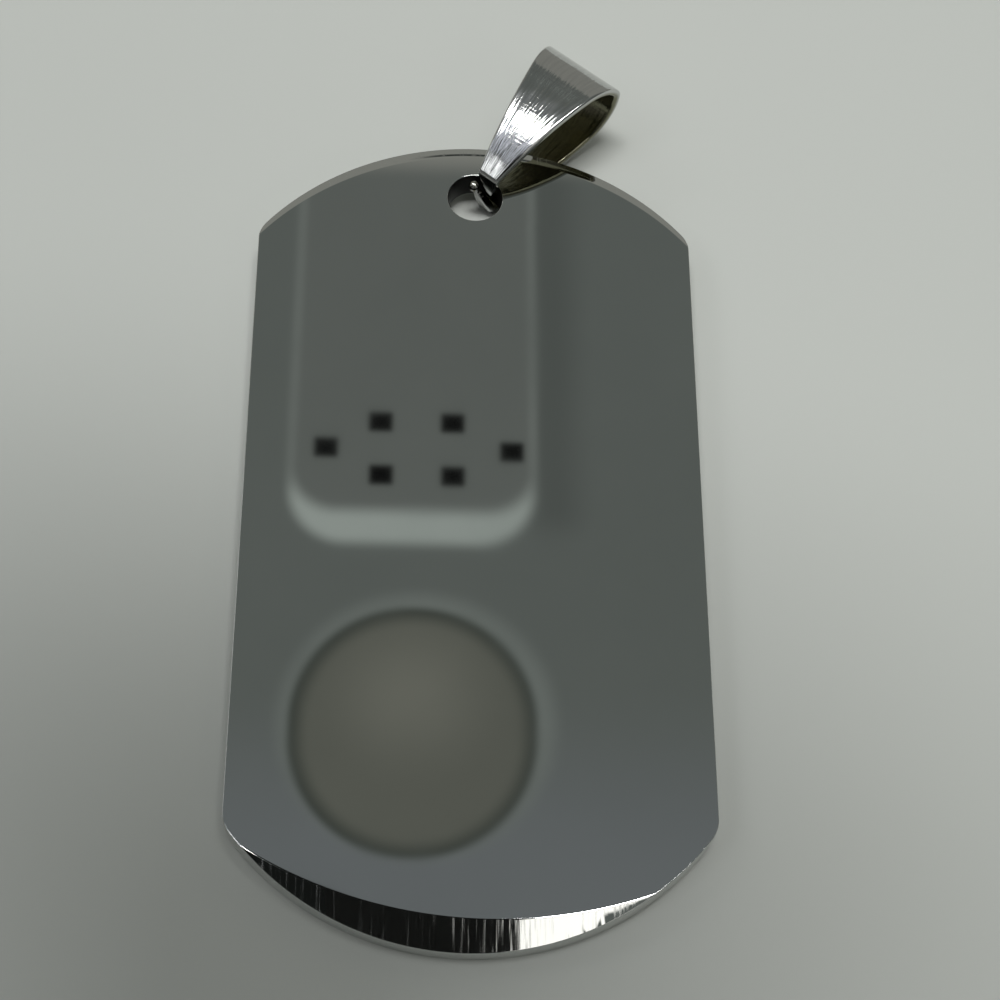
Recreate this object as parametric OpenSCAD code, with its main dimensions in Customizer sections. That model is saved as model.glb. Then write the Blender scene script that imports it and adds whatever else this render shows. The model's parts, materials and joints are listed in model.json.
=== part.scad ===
// Dog tag: a flat plate with round ends, and a folded strip that hangs in its hole by two claws.
// It lies face up. The plate leans a little on the back leg of the folded strip.

/* [Plate] */
// Width across the two straight sides
tag_width = 28; // [24:0.5:32]
// Length from end to end
tag_length = 54; // [46:0.5:64]
// Thickness of the plate
tag_thick = 2; // [1.4:0.1:3]
// Radius of the round ends
end_radius = 17.4; // [16.6:0.1:22]
// Radius that softens the four corners
corner_radius = 2; // [0.5:0.1:3]

/* [Bevels] */
// Slope of the ground bevels, in degrees below the front face
bevel_slope = 17; // [10:1:22]
// Width of the upper bevel on the centre line
top_bevel_width = 0.85; // [0.4:0.05:1.6]
// Radius of the upper bevel's inner edge
top_bevel_radius = 18; // [17:0.1:22]
// Width of the lower bevel on the centre line
low_bevel_width = 1.8; // [0.8:0.05:2.2]
// Radius of the lower bevel's inner edge
low_bevel_radius = 27; // [24:0.5:34]
// Sideways offset of the lower bevel's centre, ground a little askew
low_bevel_shift = 1.2; // [0:0.1:2]

/* [Hole] */
// Diameter of the hole
hole_diameter = 3.6; // [3.5:0.1:4.4]
// Metal left between the hole and the end of the plate
hole_margin = 2.35; // [1.6:0.05:3]

/* [Bail] */
// Length from the centre of the hole to the outside of the fold
bail_length = 12.25; // [11:0.05:16]
// Thickness of the strip
strip_thick = 0.55; // [0.4:0.05:0.6]
// Outside diameter of the fold
fold_diameter = 5.55; // [4.8:0.05:7]
// Width of the strip at the end of the fold
fold_width = 5.9; // [4:0.1:8]
// Width of the strip at the front tip
tip_width = 1.45; // [1:0.05:1.5]
// Distance from the centre of the hole to the front tip
front_setback = 1.5; // [1.3:0.05:1.5]
// Distance from the centre of the hole to the back tip
back_setback = 0.75; // [0.6:0.05:0.8]
// Radius of the bowed legs
leg_radius = 16; // [13:0.5:24]
// Clearance between the plate and the tips
tip_clearance = 0.35; // [0.3:0.05:0.6]

/* [Claws] */
// Lean of the pointed front claw towards the centre of the hole, in degrees
point_lean = 25; // [20:1:32]
// Length of the pointed front claw
point_length = 1.35; // [1:0.05:1.6]
// Diameter of its round point
point_diameter = 0.3; // [0.2:0.02:0.4]
// Sideways offset of its point, to the right
point_offset = 0.45; // [0.3:0.05:0.5]
// Length of the back claw, up to the end of its ball
ball_length = 2.3; // [1.8:0.05:2.5]
// Diameter of the ball
ball_diameter = 0.74; // [0.4:0.02:0.8]
// Width of the back claw behind its ball
neck_width = 0.4; // [0.3:0.02:0.5]
// Sideways offset of the ball, to the left
ball_offset = 0.74; // [0.6:0.02:0.8]

/* [Rest position] */
// Swing of the bail to the right of the centre line, in degrees
bail_swing = 38.3; // [0:0.1:48]
// Rise of the bail above the plane of the plate, in degrees
bail_pitch = 12.9; // [12:0.1:14]
// Drop of the bail's middle below the middle of the plate
bail_drop = 0.18; // [0.14:0.02:0.24]

/* [Hidden] */
$fn = 96;
past = 1;
wide = 100;

// Plate, seen from above, with its centre at the origin and its back at zero height
end_centre = tag_length / 2 - end_radius;
side_x = tag_width / 2 - corner_radius;
corner_y = end_centre + sqrt((end_radius - corner_radius) ^ 2 - side_x ^ 2);
corner_angle = atan2(corner_y - end_centre, side_x);
hole_y = tag_length / 2 - hole_margin - hole_diameter / 2;
top_bevel_y = tag_length / 2 - top_bevel_width - top_bevel_radius;
low_bevel_y = low_bevel_width - tag_length / 2 + sqrt(low_bevel_radius ^ 2 - low_bevel_shift ^ 2);

// Bail, seen from its side: x along it from the centre of the hole, y across the loop
fold_radius = fold_diameter / 2;
fold_x = bail_length - fold_radius;
front_tip = [front_setback, tag_thick / 2 + tip_clearance + strip_thick];
leg_centre = leg_circle_centre([fold_x, 0], leg_radius - fold_radius, front_tip, leg_radius);
leg_inside = leg_radius - strip_thick;
taper = (fold_width - tip_width) / 2 / (bail_length - front_setback);
bail_middle = tag_thick / 2 - bail_drop;

// The plate stands on its lower end and leans back until the bail too meets the ground
lift = max(
    lift_over([leg_centre.x, -leg_centre.y], leg_radius),
    lift_over([fold_x, 0], fold_radius)
);

// The origin lies under the middle of the whole tag
fold_end_y = hole_y + cos(bail_swing) * cos(bail_pitch) * fold_x + sin(bail_swing) * half_width(fold_x)
    + fold_radius * norm([
        cos(bail_swing) * cos(bail_pitch) + taper * sin(bail_swing),
        cos(bail_swing) * sin(bail_pitch)
    ]);
origin_y = (max(fold_end_y, tag_length / 2) - tag_length / 2) / 2;

// Centre of the circle round the outside of a leg, which passes through the tip and touches the fold
function leg_circle_centre(fold, fold_gap, tip, radius) =
    let (
        span = tip - fold,
        far = norm(span),
        along = (far ^ 2 + fold_gap ^ 2 - radius ^ 2) / (2 * far),
        side = sqrt(fold_gap ^ 2 - along ^ 2)
    )
    fold + along * span / far + side * [-span.y, span.x] / far;

// Centre of the bend between a leg and its claw, on the inside face of the leg
function bend_centre(setback) =
    let (x = setback + strip_thick)
    [x, leg_centre.y + sqrt(leg_inside ^ 2 - (x - leg_centre.x) ^ 2)];

// Slope of a leg at a bend
function leg_slope(bend) = asin((leg_centre.x - bend.x) / leg_inside);

// Half the width of the strip at a distance from the centre of the hole
function half_width(x) = tip_width / 2 + taper * (x - front_setback);

// Angle that lifts the plate until a round part of the bail just meets the ground
function lift_over(centre, radius) =
    let (
        ahead = centre.x * cos(bail_pitch) - centre.y * sin(bail_pitch),
        high = centre.x * sin(bail_pitch) + centre.y * cos(bail_pitch) + bail_middle,
        contact_x = centre.x - radius * sin(bail_pitch),
        edge = half_width(max(contact_x, front_setback)) * sin(bail_swing),
        far = hole_y + tag_length / 2 + ahead * cos(bail_swing) - edge
    )
    max(0, atan2(far, high) - acos(min(1, radius / norm([far, high]))));

// The corner of the outline that lies beyond its rounding
module corner_waste() {
    reach = 3 * corner_radius;
    translate([side_x, corner_y])
        difference() {
            polygon([[0, 0], [reach, 0], [reach, reach * tan(corner_angle)]]);
            circle(corner_radius);
        }
}

// The half of the plate towards the hole: the other half is its mirror image
module half_plate() {
    linear_extrude(tag_thick)
        difference() {
            intersection() {
                translate([-tag_width / 2, 0])
                    square([tag_width, tag_length / 2]);
                translate([0, end_centre])
                    circle(end_radius);
            }
            corner_waste();
            mirror([1, 0])
                corner_waste();
        }
}

// What the grinding of an end takes off, outside a cone that widens downwards
module bevel_waste(centre, radius, block_y) {
    deep = tag_thick + past;
    difference() {
        translate([-wide / 2, block_y, -past / 2])
            cube([wide, wide, deep]);
        translate([centre.x, centre.y, -past])
            cylinder(h = deep, r1 = radius + deep / tan(bevel_slope), r2 = radius);
        translate([centre.x, centre.y, tag_thick - past / 4])
            cylinder(h = past, r = radius);
    }
}

module plate_shape() {
    difference() {
        union() {
            half_plate();
            mirror([0, 1, 0])
                half_plate();
        }
        translate([0, hole_y, -past])
            cylinder(h = tag_thick + 2 * past, d = hole_diameter);
        bevel_waste([0, top_bevel_y], top_bevel_radius, 0);
        bevel_waste([low_bevel_shift, low_bevel_y], low_bevel_radius, -wide);
    }
}

// The filled side of the loop, smaller by an inset: two leg arcs that run into the round fold
module loop_side(inset) {
    join_x = fold_x + (fold_radius - inset) * (fold_x - leg_centre.x) / (leg_radius - fold_radius);
    intersection() {
        translate(leg_centre)
            circle(leg_radius - inset);
        translate([leg_centre.x, -leg_centre.y])
            circle(leg_radius - inset);
        translate([join_x - wide, -wide / 2])
            square(wide);
    }
    translate([fold_x, 0])
        circle(fold_radius - inset);
}

// One leg of the strip with its half of the fold, and the round outside of the bend at its tip
module leg_side(setback) {
    bend = bend_centre(setback);
    slope = leg_slope(bend);
    difference() {
        loop_side(0);
        loop_side(strip_thick);
        translate([-wide / 2, -wide])
            square(wide);
        translate(bend)
            rotate(slope)
                translate([-wide, -wide / 2])
                    square(wide);
    }
    translate(bend)
        intersection() {
            circle(strip_thick);
            rotate(slope)
                translate([-strip_thick, 0])
                    square(strip_thick);
        }
}

// A claw as a flat prong that hangs from the bend, seen along the bail, narrowing to a tip on one side
module prong(setback, lean, tip_drop, narrow, offset) {
    bend = bend_centre(setback);
    base = half_width(setback);
    translate([bend.x, 0, bend.y])
        rotate([0, lean, 0])
            translate([-strip_thick, 0, 0])
                rotate([90, 0, 90])
                    linear_extrude(strip_thick) {
                        polygon([
                            [-base, 0],
                            [base, 0],
                            [offset + narrow / 2, -tip_drop],
                            [offset - narrow / 2, -tip_drop]
                        ]);
                        translate([offset, -tip_drop])
                            circle(d = narrow);
                    }
}

module front_claw() {
    drop = point_length - point_diameter / 2;
    prong(front_setback, point_lean, drop, point_diameter, -point_offset);
}

module back_claw() {
    bend = bend_centre(back_setback);
    drop = ball_length - ball_diameter / 2;
    mirror([0, 0, 1]) {
        prong(back_setback, 0, drop, neck_width, ball_offset);
        translate([back_setback + strip_thick / 2, ball_offset, bend.y - drop])
            sphere(d = ball_diameter);
    }
}

// The strip before it is tapered: both legs as wide as the space allows
module straight_strip() {
    rotate([90, 0, 0])
        linear_extrude(wide, center = true) {
            leg_side(front_setback);
            mirror([0, 1])
                leg_side(back_setback);
        }
}

module taper_space() {
    end_x = bail_length + past;
    linear_extrude(wide, center = true)
        polygon([
            [0, -half_width(0)],
            [end_x, -half_width(end_x)],
            [end_x, half_width(end_x)],
            [0, half_width(0)]
        ]);
}

module bail_shape() {
    intersection() {
        straight_strip();
        taper_space();
    }
    front_claw();
    back_claw();
}

// Stands the tag on the ground with the plate lifted, and the origin under its middle
module laid_down() {
    translate([0, -tag_length / 2 - origin_y, 0])
        rotate([lift, 0, 0])
            translate([0, tag_length / 2, 0])
                children();
}

module tag_plate() {
    color("gray")
        laid_down()
            plate_shape();
}

module bail() {
    color("silver")
        laid_down()
            translate([0, hole_y, bail_middle])
                rotate([0, 0, 90 - bail_swing])
                    rotate([0, -bail_pitch, 0])
                        bail_shape();
}

tag_plate();
bail();
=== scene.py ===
import json
import math
import bpy
import bmesh
from mathutils import Matrix, Vector


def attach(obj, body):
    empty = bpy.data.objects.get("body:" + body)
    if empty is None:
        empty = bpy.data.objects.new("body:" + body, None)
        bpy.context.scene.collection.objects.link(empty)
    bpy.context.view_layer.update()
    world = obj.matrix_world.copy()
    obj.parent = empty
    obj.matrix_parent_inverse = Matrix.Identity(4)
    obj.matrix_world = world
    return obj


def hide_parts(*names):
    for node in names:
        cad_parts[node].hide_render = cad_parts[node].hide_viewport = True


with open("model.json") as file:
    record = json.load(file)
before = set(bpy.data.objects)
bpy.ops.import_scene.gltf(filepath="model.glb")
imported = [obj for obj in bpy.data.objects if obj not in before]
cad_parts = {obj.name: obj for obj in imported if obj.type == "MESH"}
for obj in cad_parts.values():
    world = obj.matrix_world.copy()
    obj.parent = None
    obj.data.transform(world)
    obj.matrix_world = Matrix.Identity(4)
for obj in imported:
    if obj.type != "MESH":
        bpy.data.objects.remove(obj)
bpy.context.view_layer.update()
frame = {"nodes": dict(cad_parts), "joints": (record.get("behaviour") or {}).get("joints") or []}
scene = bpy.context.scene
print("frame loaded:", sorted(frame["nodes"]))

# Everything is modelled in mm round the middle of the hole, then laid down where the frame has it
hinge = frame["joints"][0]
plateNormal = Vector(hinge["axis"])  # the plate leans back on the bail a little
leanBack = math.atan2(-plateNormal.y, plateNormal.z)
mm = 0.001
samePoint = 0.0001  # mm, points this close are one
layDown = Matrix.Translation(hinge["pos_m"]) @ Matrix.Rotation(leanBack, 4, "X") @ Matrix.Scale(mm, 4)


def hexColour(code):
    # sRGB hex to the linear values that the shaders take
    parts = [int(code[i:i + 2], 16) / 255 for i in (1, 3, 5)]
    return tuple(p / 12.92 if p <= 0.04045 else ((p + 0.055) / 1.055) ** 2.4 for p in parts) + (1.0,)


def addNode(tree, kind, settings=None, links=None):
    # one node with its settings; an input takes a value or another node's output
    node = tree.nodes.new(kind)
    for name, value in (settings or {}).items():
        setattr(node, name, value)
    for name, value in (links or {}).items():
        if isinstance(value, bpy.types.NodeSocket):
            tree.links.new(value, node.inputs[name])
        else:
            node.inputs[name].default_value = value
    return node


def newMaterial(name):
    material = bpy.data.materials.new(name)
    material.use_nodes = True
    material.node_tree.nodes.clear()
    return material, material.node_tree


def makeObject(bm, name, material=None):
    mesh = bpy.data.meshes.new(name)
    bm.to_mesh(mesh)
    bm.free()
    made = bpy.data.objects.new(name, mesh)
    scene.collection.objects.link(made)
    if material:
        mesh.materials.append(material)
    return made


def booleanOf(bm, tool, operation):
    # one solid cut or joined with another, both in mm
    work = makeObject(bm, "work")
    other = makeObject(tool, "tool")
    modifier = work.modifiers.new("combine", "BOOLEAN")
    modifier.operation = operation
    modifier.solver = "EXACT"
    modifier.object = other
    result = bmesh.new()
    result.from_object(work, bpy.context.evaluated_depsgraph_get())
    bpy.data.objects.remove(work)
    bpy.data.objects.remove(other)
    return result


def sharpEdges(bm, degrees):
    limit = math.radians(degrees)
    return [e for e in bm.edges if len(e.link_faces) == 2 and e.calc_face_angle(0) > limit]


def finishPiece(piece, body, node):
    # flat faces stay flat in the polish, and only the rounded edges shade as curves
    weighted = piece.modifiers.new("flatPolish", "WEIGHTED_NORMAL")
    weighted.keep_sharp = True
    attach(piece, body)
    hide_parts(node)


# Camera: the photo's own view, found from the plate's outline and thickness
photoView = {
    "place": (-4.55, -58.82, 108.66),  # mm
    "turn": (27.70, -3.233, -0.155),  # degrees
    "lens": 71.1,
    "sensor": 36.0,
}


def makeCamera(view):
    data = bpy.data.cameras.new("photoCamera")
    data.lens = view["lens"]
    data.sensor_width = view["sensor"]
    data.clip_start = 2 * mm
    data.clip_end = 20
    camera = bpy.data.objects.new("photoCamera", data)
    camera.location = Vector(view["place"]) * mm
    camera.rotation_euler = [math.radians(a) for a in view["turn"]]
    scene.collection.objects.link(camera)
    bpy.context.scene.camera = camera


makeCamera(photoView)
scene.view_settings.view_transform = "Standard"  # the studio is set for plain sRGB
print("camera placed")

# Plate: a stamped blank with round ends, a hole, and two ground bevels
plate = {
    "width": 28.0, "length": 54.0, "thick": 2.0,  # mm
    "endRadius": 17.4, "cornerRadius": 2.0,
    "holeDiameter": 3.6, "holeY": 22.85,  # hole's place from the middle of the plate
    "bevelSlope": 17.0,  # degrees
    "topBevel": (0.0, 8.15, 18.0),  # centre x and y, radius
    "lowBevel": (1.2, 1.7733, 27.0),
    "backHeight": -0.82,  # back of the plate below the middle of the hole's hinge
    "edgeRound": 0.045, "roundSteps": 3,
    "arcStep": 1.5,  # degrees of arc for one edge
    "holeSteps": 96,
    "flatBlank": 0.5, "flatCut": 0.3,  # degrees between faces that are joined into one
    "holeRim": 0.01,  # mm beyond the hole's radius that still counts as its wall
    "sharpFrom": 12,  # degrees between faces that makes an edge sharp
    "wheelReach": (1.0, 8.0), "wheelTop": 2.0,  # mm that the grinding tool extends in, out and up
    "wheelSweep": 130,  # degrees
    "mergeGap": 0.002,  # mm between points that the cuts leave double
    # holeShade is painted shade: the hole's wall is coloured near black for the shade that falls in the hole
    "steel": "#d4d5d3", "haze": "#c8cac8", "holeShade": "#161615",
    "roughness": 0.022, "hazeRoughness": 0.0374, "holeRoughness": 0.35,
    "hazeSize": 9.0,  # mm across a cloud of haze
    "hazeRange": (0.35, 0.75),  # the noise's values where the haze begins and is full
    "bevelLean": (0.93, 0.975),  # cosines of the bevels' lean from the plate's normal
    "grindPitch": 0.14,  # mm between grinding lines on the bevels
    "grindStretch": 0.04,  # how little they change along their length
    "grindDepth": 0.0004,  # mm
    "grooveRange": (0.5, 0.75),  # the noise's values where a groove begins and is full
    "grindRoughness": 0.26,
}


def arcSteps(degrees):
    return max(2, round(abs(degrees) / plate["arcStep"]))


def plateBlank(bm):
    # a quarter of the outline, then its mirror images
    sideX = plate["width"] / 2 - plate["cornerRadius"]
    endY = plate["length"] / 2 - plate["endRadius"]
    cornerY = endY + math.sqrt((plate["endRadius"] - plate["cornerRadius"]) ** 2 - sideX ** 2)
    turn = math.degrees(math.atan2(cornerY - endY, sideX))
    low = bm.verts.new((plate["width"] / 2, 0, 0))
    high = bm.verts.new((plate["width"] / 2, cornerY, 0))
    bm.edges.new((low, high))
    tip = [high]
    for centre, angle in (((sideX, cornerY, 0), turn), ((0, endY, 0), 90 - turn)):
        arc = bmesh.ops.spin(bm, geom=tip, cent=centre, axis=(0, 0, 1), angle=math.radians(angle),
                             steps=arcSteps(angle))
        tip = [v for v in arc["geom_last"] if isinstance(v, bmesh.types.BMVert)]
    for axis in ("X", "Y"):
        bmesh.ops.mirror(bm, geom=bm.verts[:] + bm.edges[:], axis=axis, merge_dist=samePoint)
    bmesh.ops.create_circle(bm, segments=plate["holeSteps"], radius=plate["holeDiameter"] / 2,
                            cap_ends=False, matrix=Matrix.Translation((0, plate["holeY"], 0)))
    bmesh.ops.triangle_fill(bm, edges=bm.edges[:], use_beauty=True)
    grown = bmesh.ops.extrude_face_region(bm, geom=bm.faces[:])
    raised = [v for v in grown["geom"] if isinstance(v, bmesh.types.BMVert)]
    bmesh.ops.translate(bm, verts=raised, vec=(0, 0, plate["thick"]))
    bmesh.ops.recalc_face_normals(bm, faces=bm.faces)
    bmesh.ops.dissolve_limit(bm, angle_limit=math.radians(plate["flatBlank"]), verts=bm.verts, edges=bm.edges)


def grindingWheel(centreX, centreY, radius, side):
    # what the grinding takes off: a ring whose inner wall slopes down and out
    tool = bmesh.new()
    slope = math.tan(math.radians(plate["bevelSlope"]))
    inward, outward = plate["wheelReach"]
    top = plate["wheelTop"]
    section = [(radius - inward, inward * slope), (radius + outward, -outward * slope),
               (radius + outward, top), (radius - inward, top)]
    ring = [tool.verts.new((r, 0, plate["thick"] + z)) for r, z in section]
    tool.faces.new(ring)
    sweep = plate["wheelSweep"]
    toStart = Matrix.Rotation(math.radians(side * 90 - sweep / 2), 3, "Z")
    bmesh.ops.rotate(tool, verts=tool.verts, cent=(0, 0, 0), matrix=toStart)
    bmesh.ops.spin(tool, geom=tool.faces[:] + tool.edges[:] + tool.verts[:], cent=(0, 0, 0), axis=(0, 0, 1),
                   angle=math.radians(sweep), steps=arcSteps(sweep))
    bmesh.ops.remove_doubles(tool, verts=tool.verts, dist=samePoint)
    bmesh.ops.recalc_face_normals(tool, faces=tool.faces)
    bmesh.ops.translate(tool, verts=tool.verts, vec=(centreX, centreY, 0))
    return tool


def mirrorPolishedSteel():
    # 316L stainless steel sheet, mirror polished: a clear dark mirror with the least haze in clouds,
    # and fine grinding lines across the bevels
    material, tree = newMaterial("mirrorPolishedStainlessSteel")
    place = addNode(tree, "ShaderNodeTexCoord").outputs["Object"]
    cloud = addNode(tree, "ShaderNodeTexNoise", None,
                    {"Vector": place, "Scale": 1 / (plate["hazeSize"] * mm), "Detail": 3, "Roughness": 0.6})
    rough = addNode(tree, "ShaderNodeMapRange", None,
                    {"Value": cloud.outputs["Fac"],
                     "From Min": plate["hazeRange"][0], "From Max": plate["hazeRange"][1],
                     "To Min": plate["roughness"], "To Max": plate["hazeRoughness"]})
    colour = addNode(tree, "ShaderNodeMix", {"data_type": "RGBA"},
                     {"Factor": cloud.outputs["Fac"], "A": hexColour(plate["steel"]),
                      "B": hexColour(plate["haze"])})
    # only the bevels lean this far away from the plate's normal
    lean = addNode(tree, "ShaderNodeVectorMath", {"operation": "DOT_PRODUCT"},
                   {0: addNode(tree, "ShaderNodeNewGeometry").outputs["True Normal"], 1: plateNormal})
    least, most = plate["bevelLean"]
    below = addNode(tree, "ShaderNodeMath", {"operation": "LESS_THAN"},
                    {0: lean.outputs["Value"], 1: most})
    above = addNode(tree, "ShaderNodeMath", {"operation": "GREATER_THAN"},
                    {0: lean.outputs["Value"], 1: least})
    onBevel = addNode(tree, "ShaderNodeMath", {"operation": "MULTIPLY"},
                      {0: below.outputs["Value"], 1: above.outputs["Value"]})
    across = addNode(tree, "ShaderNodeMapping", None,
                     {"Vector": place, "Scale": (1, plate["grindStretch"], plate["grindStretch"])})
    lines = addNode(tree, "ShaderNodeTexNoise", None,
                    {"Vector": across.outputs["Vector"], "Detail": 2,
                     "Scale": 1 / (plate["grindPitch"] * mm)})
    height = addNode(tree, "ShaderNodeMath", {"operation": "MULTIPLY"},
                     {0: lines.outputs["Fac"], 1: onBevel.outputs["Value"]})
    bump = addNode(tree, "ShaderNodeBump", None,
                   {"Height": height.outputs["Value"], "Distance": plate["grindDepth"] * mm})
    # the strongest lines are rough grooves, which smear a lamp's reflection across the bevel
    grooves = addNode(tree, "ShaderNodeMapRange", None,
                      {"Value": lines.outputs["Fac"], "To Min": 0, "To Max": 1,
                       "From Min": plate["grooveRange"][0], "From Max": plate["grooveRange"][1]})
    grooved = addNode(tree, "ShaderNodeMath", {"operation": "MULTIPLY"},
                      {0: grooves.outputs["Result"], 1: onBevel.outputs["Value"]})
    ground = addNode(tree, "ShaderNodeMix", {"data_type": "FLOAT"},
                     {"Factor": grooved.outputs["Value"], "A": rough.outputs["Result"],
                      "B": plate["grindRoughness"]})
    # the punched wall of the hole is rough, and its colour is painted near black as painted shade in the hole
    inHole = addNode(tree, "ShaderNodeAttribute", {"attribute_name": "inHole"}).outputs["Fac"]
    withPaintedShade = addNode(tree, "ShaderNodeMix", {"data_type": "RGBA"},
                     {"Factor": inHole, "A": colour.outputs["Result"],
                      "B": hexColour(plate["holeShade"])})
    dullness = addNode(tree, "ShaderNodeMix", {"data_type": "FLOAT"},
                       {"Factor": inHole, "A": ground.outputs["Result"], "B": plate["holeRoughness"]})
    shader = addNode(tree, "ShaderNodeBsdfPrincipled", None,
                     {"Base Color": withPaintedShade.outputs["Result"], "Metallic": 1.0,
                      "Roughness": dullness.outputs["Result"], "Normal": bump.outputs["Normal"]})
    addNode(tree, "ShaderNodeOutputMaterial", None, {"Surface": shader.outputs["BSDF"]})
    return material


def makePlate():
    bm = bmesh.new()
    plateBlank(bm)
    for (x, y, radius), side in ((plate["topBevel"], 1), (plate["lowBevel"], -1)):
        bm = booleanOf(bm, grindingWheel(x, y, radius, side), "DIFFERENCE")
    bmesh.ops.remove_doubles(bm, verts=bm.verts, dist=plate["mergeGap"])
    bmesh.ops.dissolve_limit(bm, angle_limit=math.radians(plate["flatCut"]), verts=bm.verts, edges=bm.edges)
    bmesh.ops.bevel(bm, geom=sharpEdges(bm, plate["sharpFrom"]), offset=plate["edgeRound"],
                    offset_type="OFFSET", affect="EDGES", segments=plate["roundSteps"], profile=0.5,
                    material=-1, clamp_overlap=False)
    bmesh.ops.translate(bm, verts=bm.verts, vec=(0, -plate["holeY"], plate["backHeight"]))
    inHole = bm.verts.layers.float.new("inHole")
    wallRadius = plate["holeDiameter"] / 2 + plate["holeRim"]
    for vert in bm.verts:
        vert[inHole] = 1.0 if vert.co.xy.length < wallRadius else 0.0
    for face in bm.faces:
        face.smooth = True
    bmesh.ops.transform(bm, matrix=layDown, verts=bm.verts)
    finishPiece(makeObject(bm, "tagPlate", mirrorPolishedSteel()), "tag", "tag_plate")


makePlate()
print("plate made")

# Bail: one strip folded into a loop, with a claw at each end that meets in the plate's hole
bail = {
    "swing": 38.3, "pitch": 12.9,  # degrees, how it lies
    "strip": 0.55,  # mm, thickness
    "foldCentre": (9.475, 0.0), "foldRadius": 2.775,  # mm, the fold as a whole
    # its three bends: where each starts, in degrees from straight up, and its outside radius
    "bends": [(8.75, 3.2), (70.0, 1.2), (100.0, 3.595)],
    "backJoin": 173.2,  # degrees, where the back leg starts
    "legCentre": (7.24029, 13.0348), "legRadius": 16.0,  # the front leg's circle has its centre below
    "frontBendX": 2.05, "backBendX": 1.3,
    "tipWidth": 1.45, "widthGrowth": 0.414, "widthFrom": 1.5,  # mm wider for each mm along it
    "edgeRound": 0.17, "roundSteps": 5,
    "legSteps": 28, "frontBendSteps": 8, "backBendSteps": 10,
    "foldStep": 3, "foldLeast": 12,  # degrees of fold for one step, and the fewest steps of a bend
    "samePoint": 0.0005,  # mm, points this close are one
    "frontLean": 25.0,  # degrees, how far the front claw leans to the middle of the hole
    # claws, ring by ring: mm down, mm sideways, half its width, half its thickness
    "frontClaw": [(0.35, -0.12, 0.58, 0.275), (0.75, -0.28, 0.38, 0.26), (1.05, -0.39, 0.22, 0.22),
                  (1.22, -0.44, 0.13, 0.16), (1.32, -0.45, 0.06, 0.08)],
    "backClaw": [(0.5, 0.19, 0.47, 0.26), (1.1, 0.42, 0.36, 0.22), (1.6, 0.62, 0.25, 0.19),
                 (1.93, 0.74, 0.2, 0.18)],
    "ball": (1.025, 0.74, 0.74),  # along, sideways, diameter
    "ballSteps": (32, 20),
    # insideShade is painted shade: the inside of the loop is coloured dark olive for the shade between its
    # legs
    "steel": "#cfcfcd", "shade": "#b4b5b4", "insideShade": "#7c7a68",
    "innerShare": 0.1,  # of the thickness from its middle, where the inside's rougher finish and painted shade begin
    "insideRoughness": 0.14,
    "roughness": 0.08, "waveRoughness": 0.128, "waveRange": (0.3, 0.7),
    "linePitch": 0.2, "lineDepth": 0.017,  # mm between polishing lines, and how deep
    "lineStretch": 0.06,  # how little they change along the strip
    "wavePitch": 1.3, "waveDepth": 0.02,  # slow unevenness left by the buffing
    "grainPitch": 0.12, "grainDepth": 0.0015,
}


def halfWidth(x):
    return bail["tipWidth"] / 2 + bail["widthGrowth"] / 2 * (x - bail["widthFrom"])


def bendCentre(x):
    legX, legY = bail["legCentre"]
    inside = bail["legRadius"] - bail["strip"]
    slope = math.degrees(math.asin((legX - x) / inside))
    return (x, math.sqrt(inside ** 2 - (x - legX) ** 2) - legY), slope


def addClaw(bm, ring, corner, lean, rings, up):
    # each ring is drawn out of the last one, narrower and further along the claw
    turned = Matrix.Rotation(math.radians(lean), 4, "Y")
    last = (0, 0, halfWidth(max(corner[0] - bail["strip"], 0)), bail["strip"] / 2)
    middle = Vector((corner[0], 0, corner[1])) + turned @ Vector((-bail["strip"] / 2, 0, 0))
    for step in rings:
        down, sideways, wide, thick = [b - a for a, b in zip(last, step)][:2] + list(step[2:])
        grown = bmesh.ops.extrude_edge_only(bm, edges=ring)["geom"]
        verts = [v for v in grown if isinstance(v, bmesh.types.BMVert)]
        ring = [e for e in grown if isinstance(e, bmesh.types.BMEdge)]
        here = Matrix.Translation(middle) @ turned
        bmesh.ops.scale(bm, verts=verts, vec=(thick / last[3], wide / last[2], 1), space=here.inverted())
        shift = turned @ Vector((0, sideways, down * up))
        bmesh.ops.translate(bm, verts=verts, vec=shift)
        middle = middle + shift
        last = step
    bmesh.ops.edgeloop_fill(bm, edges=ring)


def markStrip(bm):
    # how far across and along the strip each point is, in mm, for the polishing lines to follow
    onStrip = bm.verts.layers.float_vector.new("onStrip")
    foldX, foldZ = bail["foldCentre"]
    for vert in bm.verts:
        x, y, z = vert.co
        turn = math.atan2(x - foldX, z - foldZ) if x > foldX else (0 if z > 0 else math.pi)
        straight = max(foldX - x, 0) * (-1 if z > 0 else 1)
        # the lines run closer together towards the tips
        fanned = y / halfWidth(max(x, 0)) * halfWidth(foldX)
        vert[onStrip] = (fanned, bail["foldRadius"] * turn + straight, z)


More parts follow.
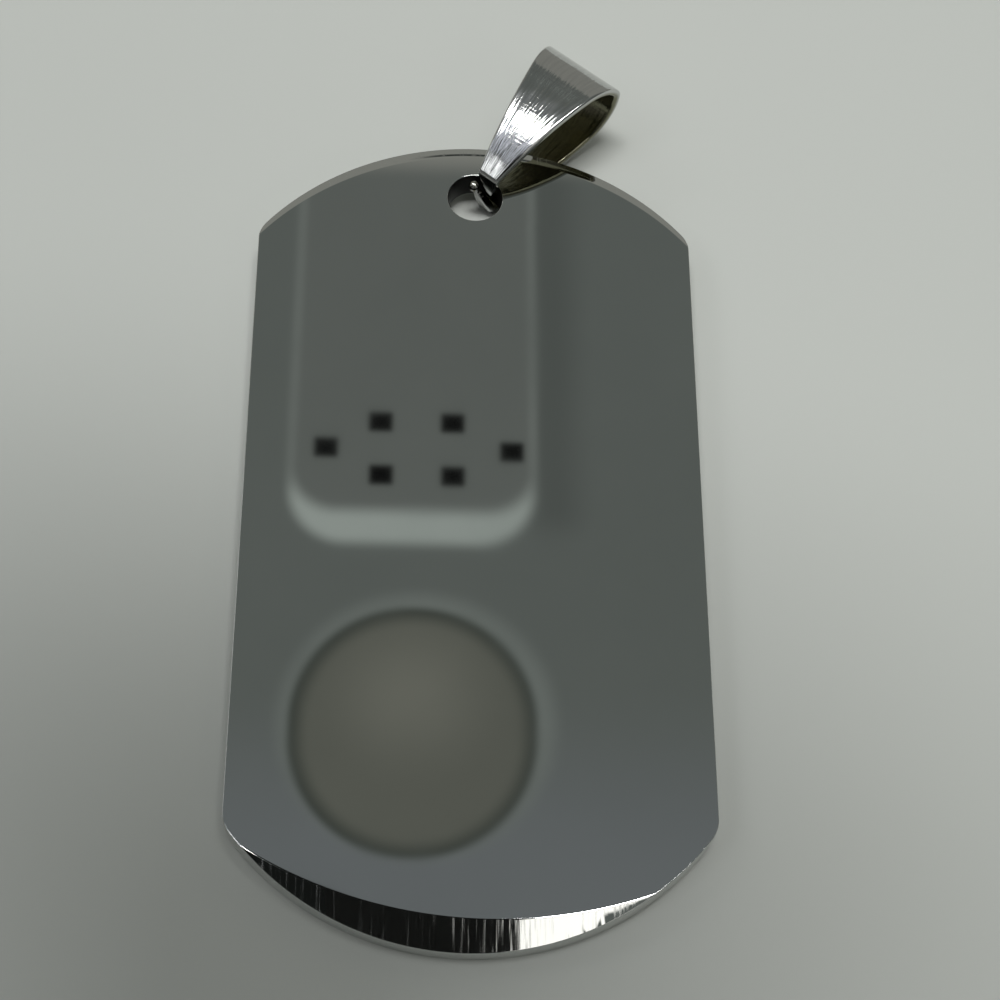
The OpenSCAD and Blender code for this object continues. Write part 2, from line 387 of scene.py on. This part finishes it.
def makeBail():
    bm = bmesh.new()
    strip = bail["strip"]
    legX, legZ = bail["legCentre"]
    front, frontSlope = bendCentre(bail["frontBendX"])
    back, backSlope = bendCentre(bail["backBendX"])
    # the strip's section, upright over the front bend, with its corners rounded
    drawnHalf = 1.0
    bmesh.ops.create_grid(bm, x_segments=1, y_segments=1, size=drawnHalf)
    bmesh.ops.scale(bm, verts=bm.verts, vec=(strip / 2, 1, 1))
    bmesh.ops.bevel(bm, geom=bm.verts[:], offset=bail["edgeRound"], offset_type="OFFSET", affect="VERTICES",
                    segments=bail["roundSteps"], profile=0.5, material=-1)
    bmesh.ops.delete(bm, geom=bm.faces[:], context="FACES_ONLY")
    inLoop = bm.verts.layers.float.new("inLoop")
    for vert in bm.verts:
        vert[inLoop] = 1.0 if vert.co.x > strip * bail["innerShare"] else 0.0
    upright = Matrix.Rotation(math.radians(90), 4, "Y")
    stand = Matrix.Translation((front[0], 0, front[1] + strip / 2)) @ upright
    bmesh.ops.transform(bm, matrix=stand, verts=bm.verts)
    start = bail["frontLean"] - 90
    leanOver = Matrix.Rotation(math.radians(start), 3, "Y")
    bmesh.ops.rotate(bm, verts=bm.verts, cent=(front[0], 0, front[1]), matrix=leanOver)
    firstRing = bm.edges[:]
    ring = firstRing
    # bend, front leg, the three bends of the fold, back leg, bend
    legSteps = bail["legSteps"]
    path = [(front, -frontSlope - start, bail["frontBendSteps"]),
            ((legX, -legZ), frontSlope + bail["bends"][0][0], legSteps)]
    centre, radius = Vector((legX, -legZ)), bail["legRadius"]
    ends = [angle for angle, size in bail["bends"][1:]] + [bail["backJoin"]]
    for (angle, size), end in zip(bail["bends"], ends):
        turned = math.radians(angle)
        centre = centre + (radius - size) * Vector((math.sin(turned), math.cos(turned)))
        radius = size
        path.append((centre, end - angle, max(bail["foldLeast"], round((end - angle) / bail["foldStep"]))))
    path += [((legX, legZ), 180 - bail["backJoin"] + backSlope, legSteps),
             ((back[0], -back[1]), 90 - backSlope, bail["backBendSteps"])]
    for (x, z), angle, steps in path:
        swept = bmesh.ops.spin(bm, geom=ring, cent=(x, 0, z), axis=(0, 1, 0), angle=math.radians(angle),
                               steps=steps)
        ring = [e for e in swept["geom_last"] if isinstance(e, bmesh.types.BMEdge)]
    lastRing = ring
    # the strip's edges move in or out to its width at each place
    for vert in bm.verts:
        side = math.copysign(1, vert.co.y)
        vert.co.y += side * (halfWidth(max(vert.co.x, bail["backBendX"] - strip)) - drawnHalf)
    addClaw(bm, firstRing, front, bail["frontLean"], bail["frontClaw"], -1)
    addClaw(bm, lastRing, (back[0], -back[1]), 0, bail["backClaw"], 1)
    bmesh.ops.remove_doubles(bm, verts=bm.verts, dist=bail["samePoint"])
    bmesh.ops.recalc_face_normals(bm, faces=bm.faces)
    ball = bmesh.new()
    ballX, ballY, ballSize = bail["ball"]
    ballZ = -back[1] + bail["backClaw"][-1][0]
    around, down = bail["ballSteps"]
    bmesh.ops.create_uvsphere(ball, u_segments=around, v_segments=down, radius=ballSize / 2,
                              matrix=Matrix.Translation((ballX, ballY, ballZ)))
    bm = booleanOf(bm, ball, "UNION")
    for face in bm.faces:
        face.smooth = True
    markStrip(bm)
    swung = Matrix.Rotation(math.radians(90 - bail["swing"]), 4, "Z")
    raised = Matrix.Rotation(math.radians(-bail["pitch"]), 4, "Y")
    bmesh.ops.transform(bm, matrix=layDown @ (swung @ raised), verts=bm.verts)
    finishPiece(makeObject(bm, "foldedBail", buffedSteel()), "bail", "bail")


def buffedSteel():
    # 304 stainless steel strip, buffed along its length before it was folded: bright and clear,
    # with fine lengthwise lines that break a lamp's reflection into streaks
    material, tree = newMaterial("buffedStainlessSteel")
    place = addNode(tree, "ShaderNodeAttribute", {"attribute_name": "onStrip"}).outputs["Vector"]
    stretched = addNode(tree, "ShaderNodeMapping", None,
                        {"Vector": place, "Scale": (1, bail["lineStretch"], 0)})
    # the inside of the loop is rougher, and its colour is painted darker olive as painted shade between the
    # legs
    inside = addNode(tree, "ShaderNodeAttribute", {"attribute_name": "inLoop"}).outputs["Fac"]
    lines = addNode(tree, "ShaderNodeTexNoise", None,
                    {"Vector": stretched.outputs["Vector"], "Scale": 1 / bail["linePitch"], "Detail": 2})
    waves = addNode(tree, "ShaderNodeTexNoise", None,
                    {"Vector": place, "Scale": 1 / bail["wavePitch"], "Detail": 1})
    grain = addNode(tree, "ShaderNodeTexNoise", None,
                    {"Vector": place, "Scale": 1 / bail["grainPitch"], "Detail": 2})
    lineBump = addNode(tree, "ShaderNodeBump", None,
                       {"Height": lines.outputs["Fac"], "Distance": bail["lineDepth"] * mm})
    waveBump = addNode(tree, "ShaderNodeBump", None,
                       {"Height": waves.outputs["Fac"], "Distance": bail["waveDepth"] * mm,
                        "Normal": lineBump.outputs["Normal"]})
    grainBump = addNode(tree, "ShaderNodeBump", None,
                        {"Height": grain.outputs["Fac"], "Distance": bail["grainDepth"] * mm,
                         "Normal": waveBump.outputs["Normal"]})
    colour = addNode(tree, "ShaderNodeMix", {"data_type": "RGBA"},
                     {"Factor": lines.outputs["Fac"], "A": hexColour(bail["steel"]),
                      "B": hexColour(bail["shade"])})
    rough = addNode(tree, "ShaderNodeMapRange", None,
                    {"Value": waves.outputs["Fac"],
                     "From Min": bail["waveRange"][0], "From Max": bail["waveRange"][1],
                     "To Min": bail["roughness"], "To Max": bail["waveRoughness"]})
    withPaintedShade = addNode(tree, "ShaderNodeMix", {"data_type": "RGBA"},
                     {"Factor": inside, "A": colour.outputs["Result"], "B": hexColour(bail["insideShade"])})
    dullness = addNode(tree, "ShaderNodeMix", {"data_type": "FLOAT"},
                       {"Factor": inside, "A": rough.outputs["Result"], "B": bail["insideRoughness"]})
    shader = addNode(tree, "ShaderNodeBsdfPrincipled", None,
                     {"Base Color": withPaintedShade.outputs["Result"], "Metallic": 1.0,
                      "Roughness": dullness.outputs["Result"], "Normal": grainBump.outputs["Normal"]})
    addNode(tree, "ShaderNodeOutputMaterial", None, {"Surface": shader.outputs["BSDF"]})
    return material


makeBail()
print("bail made")

# Studio: a pale board under a dim room; lamps and panels are drawn on a ceiling that is far away
studio = {
    "floorSize": 3.0,  # m
    "floor": "#bfc2bd", "felt": "#060606", "mattRoughness": 0.85,
    "room": ("#f4fff8", 0.15), "horizon": ("#fdfffa", 0.14),  # tint and brightness overhead and low down
    "rise": (0.8, 0.35), "leastRise": 0.02,  # where the one turns into the other, and the ceiling's far end
    # the flag shades the near side, corners x, y in m
    "flag": ((-0.039, 0.0135), (0.0145, -0.0059), (0.0145, -0.15), (-0.039, -0.15)), "flagHeight": 0.12,
    "lamp": ((-0.02, 0.07), (0.526, 0.23), 18.3),  # softbox: its middle, size in m and brightness
    "lampHeight": 1.0,  # m
    # glows and panels: place on a ceiling 1 m up, half its size, turn, corner, softness, tint, brightness
    "ceiling": {
        "darkSide": ((-0.42, -0.36), (0.32, 0.22), 0, 0.05, 0.03, "#f4fff8", 0.01),
        "darkNear": ((-0.5, -1.1), (0.75, 0.35), 0, 0.1, 0.1, "#f4fff8", 0.05),
        "sideGlow": ((-0.5, 0.02), (0.2, 0.09), 45, 0.08, 0.05, "#eef2ff", 1.1),
        "sideLamp": ((-0.86, -0.34), (0.27, 0.16), 45, 0.06, 0.05, "#fbfdff", 2.8),
        "leftLamp": ((-1.05, 0.6), (0.4, 0.2), 45, 0.1, 0.1, "#fbfdff", 2.2),
        "rightLamp": ((0.2, -0.47), (0.12, 0.29), 0, 0.03, 0.03, "#fffdf8", 1.7),
        "lowLamp": ((0.85, -1.2), (0.25, 0.35), 0, 0.1, 0.1, "#fffdf8", 1.2),
        "nearGlow": ((0.0, 0.26), (0.5, 0.06), 0, 0.05, 0.06, "#f2fbff", 0.19),
        "shadeStrip": ((0.086, 0.66), (0.012, 0.19), 0, 0.01, 0.016, "#f4fff8", 0.118),
        "fittingRim": ((0.0073, 0.645), (0.0686, 0.1887), 0, 0.032, 0.005, "#f4fff8", 0.42),
        "fitting": ((0.0073, 0.67), (0.0698, 0.194), 0, 0.028, 0.006, "#f6fff8", 0.158),
        "discHalo": ((0.0125, 0.3515), (0.0735, 0.0735), 0, 0.073, 0.007, "#f4fff8", 0.215),
        "discRim": ((0.0103, 0.3475), (0.0665, 0.07), 0, 0.066, 0.003, "#f0fff0", 0.06),
        "disc": ((0.0103, 0.347), (0.0605, 0.064), 0, 0.0605, 0.006, "#fbffee", 0.14),
        "discGlow": ((0.010, 0.368), (0.022, 0.02), 0, 0.02, 0.035, "#fdffee", 0.185),
        "farWall": ((0.0, 30.71), (30, 30), 0, 0.3, 0.01, "#fefff5", 0.285),
        "darkWall": ((0.18, 2.65), (0.33, 0.3), 0, 0.1, 0.1, "#f4fff8", 0.05),
    },
    # six small dark slots in the fitting: their shape as above, and their places
    "slotShape": ((0.0068, 0.0062), 0, 0.002, 0.002, "#ffffff", 0.003),
    "slots": [(-0.042, 0.5154), (-0.0113, 0.5325), (0.0299, 0.5326), (0.0638, 0.5149), (-0.0104, 0.4986),
              (0.0303, 0.4985)],
}


def addPatch(tree, flat, under, spot):
    # a soft-edged panel laid over what is already drawn on the ceiling
    centre, half, turn, corner, soft, code, brightness = spot
    local = addNode(tree, "ShaderNodeMapping", {"vector_type": "TEXTURE"},
                    {"Vector": flat, "Location": (*centre, 0), "Rotation": (0, 0, math.radians(turn))})
    size = addNode(tree, "ShaderNodeVectorMath", {"operation": "ABSOLUTE"}, {0: local.outputs["Vector"]})
    past = addNode(tree, "ShaderNodeVectorMath", {"operation": "SUBTRACT"},
                   {0: size.outputs["Vector"], 1: (half[0] - corner, half[1] - corner, 0)})
    outside = addNode(tree, "ShaderNodeVectorMath", {"operation": "MAXIMUM"},
                      {0: past.outputs["Vector"], 1: (0, 0, 0)})
    reach = addNode(tree, "ShaderNodeVectorMath", {"operation": "LENGTH"}, {0: outside.outputs["Vector"]})
    inside = addNode(tree, "ShaderNodeMapRange", {"interpolation_type": "SMOOTHSTEP"},
                     {"Value": reach.outputs["Value"], "From Min": corner + soft,
                      "From Max": max(corner - soft, 0), "To Min": 0, "To Max": 1})
    tint = [c * brightness for c in hexColour(code)[:3]] + [1]
    mixed = addNode(tree, "ShaderNodeMix", {"data_type": "RGBA"},
                    {"Factor": inside.outputs["Result"], "A": under, "B": tint})
    return mixed.outputs["Result"]


def makeCard(name, corners, height, material):
    bm = bmesh.new()
    bm.faces.new([bm.verts.new((x, y, height)) for x, y in corners])
    card = makeObject(bm, name, material)
    card.visible_camera = False


def mattMaterial(name, code):
    material, tree = newMaterial(name)
    shader = addNode(tree, "ShaderNodeBsdfPrincipled", None,
                     {"Base Color": hexColour(code), "Roughness": studio["mattRoughness"]})
    addNode(tree, "ShaderNodeOutputMaterial", None, {"Surface": shader.outputs["BSDF"]})
    return material


def makeRoom():
    world = bpy.data.worlds.new("dimRoom")
    world.use_nodes = True
    scene.world = world
    tree = world.node_tree
    tree.nodes.clear()
    direction = addNode(tree, "ShaderNodeTexCoord").outputs["Generated"]
    height = addNode(tree, "ShaderNodeSeparateXYZ", None, {"Vector": direction}).outputs["Z"]
    above = addNode(tree, "ShaderNodeMath", {"operation": "MAXIMUM"}, {0: height, 1: studio["leastRise"]})
    scale = addNode(tree, "ShaderNodeMath", {"operation": "DIVIDE"}, {0: 1.0, 1: above.outputs["Value"]})
    onCeiling = addNode(tree, "ShaderNodeVectorMath", {"operation": "SCALE"},
                        {"Vector": direction, "Scale": scale.outputs["Value"]})
    flat = addNode(tree, "ShaderNodeVectorMath", {"operation": "MULTIPLY"},
                   {0: onCeiling.outputs["Vector"], 1: (1, 1, 0)}).outputs["Vector"]
    low = addNode(tree, "ShaderNodeMapRange", {"interpolation_type": "SMOOTHSTEP"},
                  {"Value": height, "To Min": 0, "To Max": 1,
                   "From Min": studio["rise"][0], "From Max": studio["rise"][1]})
    tints = [[c * level for c in hexColour(code)[:3]] + [1]
             for code, level in (studio["room"], studio["horizon"])]
    drawn = addNode(tree, "ShaderNodeMix", {"data_type": "RGBA"},
                    {"Factor": low.outputs["Result"], "A": tints[0], "B": tints[1]}).outputs["Result"]
    for spot in studio["ceiling"].values():
        drawn = addPatch(tree, flat, drawn, spot)
    for middle in studio["slots"]:
        drawn = addPatch(tree, flat, drawn, (middle, *studio["slotShape"]))
    glow = addNode(tree, "ShaderNodeBackground", None, {"Color": drawn, "Strength": 1.0})
    addNode(tree, "ShaderNodeOutputWorld", None, {"Surface": glow.outputs["Background"]})


def makeLamp(centre, size, brightness):
    data = bpy.data.lights.new("softbox", "AREA")
    data.shape = "RECTANGLE"
    data.size, data.size_y = size
    data.energy = brightness * math.pi * size[0] * size[1]
    lamp = bpy.data.objects.new("softbox", data)
    lamp.location = (*centre, studio["lampHeight"])
    lamp.visible_camera = False
    scene.collection.objects.link(lamp)


def makeStudio():
    bm = bmesh.new()
    bmesh.ops.create_grid(bm, x_segments=1, y_segments=1, size=studio["floorSize"] / 2)
    floor = makeObject(bm, "paleFloor", mattMaterial("paleMattBoard", studio["floor"]))
    makeCard("shadeFlag", studio["flag"], studio["flagHeight"], mattMaterial("blackFelt", studio["felt"]))
    makeLamp(*studio["lamp"])
    makeRoom()


makeStudio()
print("studio made")
